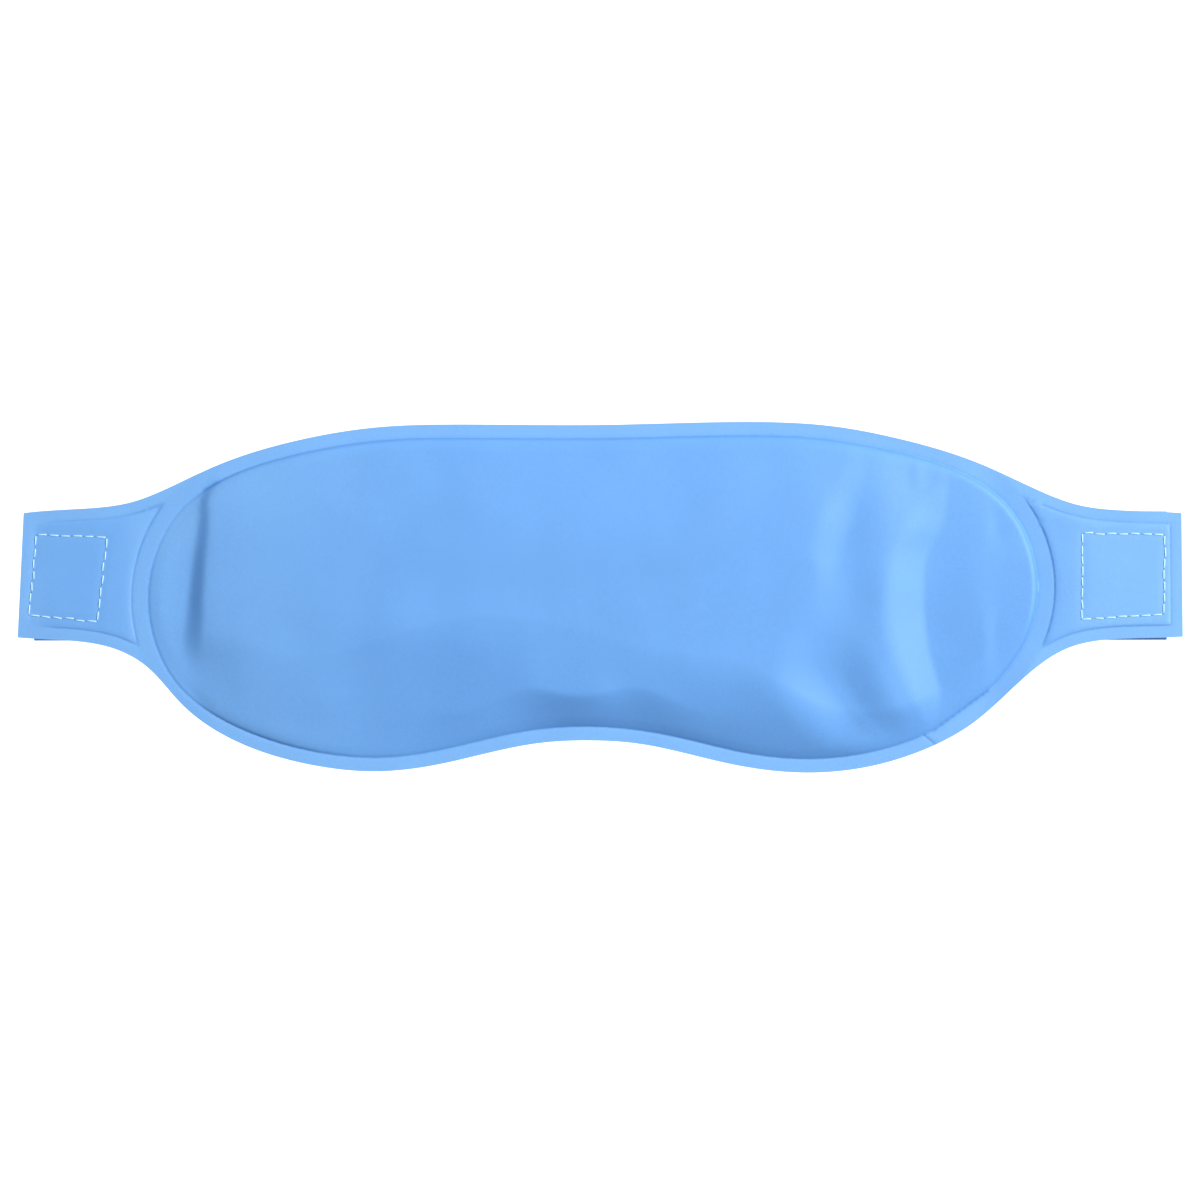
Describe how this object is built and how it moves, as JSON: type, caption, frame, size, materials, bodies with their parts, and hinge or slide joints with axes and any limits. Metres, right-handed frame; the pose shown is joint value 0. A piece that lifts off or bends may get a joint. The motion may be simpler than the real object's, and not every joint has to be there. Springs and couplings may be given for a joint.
{
  "type": "eye pillow",
  "caption": "Contoured gel eye pillow with a welded edge, a sewn tab at each end and an elastic head strap that fastens behind it with hook and loop pads.",
  "frame": {"origin": "centre of the pillow's bounding box in plan, on the underside of the strap that it rests on", "axes": "+X along the pillow towards the end where the strap opens, +Y towards the brow edge, +Z out of the front face"},
  "size_m": [0.275, 0.0828, 0.012],
  "materials": {
    "cover_fabric": "satin",
    "gel": "gloss",
    "loop_pile": "matte",
    "hook_tape": "matte",
    "thread": "satin",
    "strap_elastic": "matte"
  },
  "bodies": {
    "gel_pack": {"front_cover": "cover_fabric", "back_cover": "cover_fabric", "gel_fill": "gel"},
    "left_tab": {"left_tab_front": "cover_fabric", "left_tab_back": "cover_fabric", "left_loop_patch": "loop_pile", "left_tab_stitching": "thread", "strap_left_end": "strap_elastic", "left_hook_pad": "hook_tape", "left_hook_stitching": "thread"},
    "right_tab": {"right_tab_front": "cover_fabric", "right_tab_back": "cover_fabric", "right_loop_patch": "loop_pile", "right_tab_stitching": "thread"},
    "strap": {"strap_band": "strap_elastic", "right_hook_pad": "hook_tape", "right_hook_stitching": "thread"}
  },
  "joints": [
    {"name": "left_tab_fold", "type": "hinge", "parent": "gel_pack", "child": "left_tab", "pos_m": [-0.1087, 0.004, 0.004], "axis": [0, -1, 0], "range_deg": [0, 75]},
    {"name": "right_tab_fold", "type": "hinge", "parent": "gel_pack", "child": "right_tab", "pos_m": [0.1053, 0.005, 0.004], "axis": [0, 1, 0], "range_deg": [0, 75]},
    {"name": "strap_swing", "type": "hinge", "parent": "left_tab", "child": "strap", "pos_m": [-0.114, 0.00515, 0], "axis": [0, 1, 0], "range_deg": [0, 150]}
  ],
  "couplings": [
    {"joint": "left_tab_fold", "follows": "strap_swing", "ratio": 0.5},
    {"joint": "right_tab_fold", "follows": "strap_swing", "ratio": 0.5}
  ]
}
